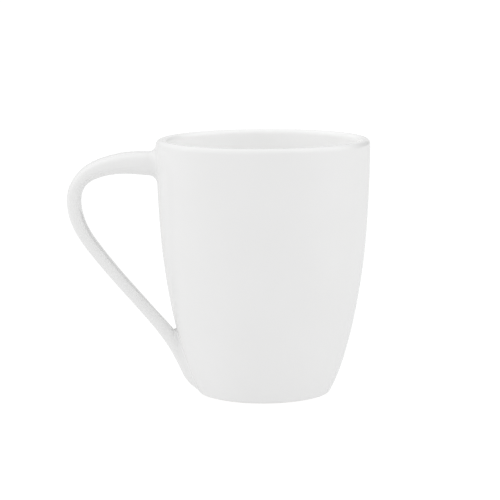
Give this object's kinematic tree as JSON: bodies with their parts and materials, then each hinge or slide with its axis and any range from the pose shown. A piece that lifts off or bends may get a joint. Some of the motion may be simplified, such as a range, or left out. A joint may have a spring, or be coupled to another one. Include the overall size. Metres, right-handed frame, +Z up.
{
  "type": "ceramic mug",
  "caption": "Plain white glazed ceramic mug with a rounded lip, a wall that narrows softly to a small foot ring, and one ear-shaped handle with a long diagonal tail.",
  "frame": {"origin": "on the cup's axis, in the plane of the foot ring that it stands on", "axes": "+Z up along the cup's axis, the handle points to -X, +Y completes the right-handed frame"},
  "size_m": [0.1248, 0.088, 0.1054],
  "materials": {
    "clay": "matte",
    "slip": "matte",
    "glaze": "gloss"
  },
  "bodies": {
    "root": {"cup_body": "clay", "handle": "clay", "upper_slip_joint": "slip", "lower_slip_joint": "slip", "inside_glaze": "glaze", "outside_glaze": "glaze", "base_glaze": "glaze"}
  },
  "joints": []
}
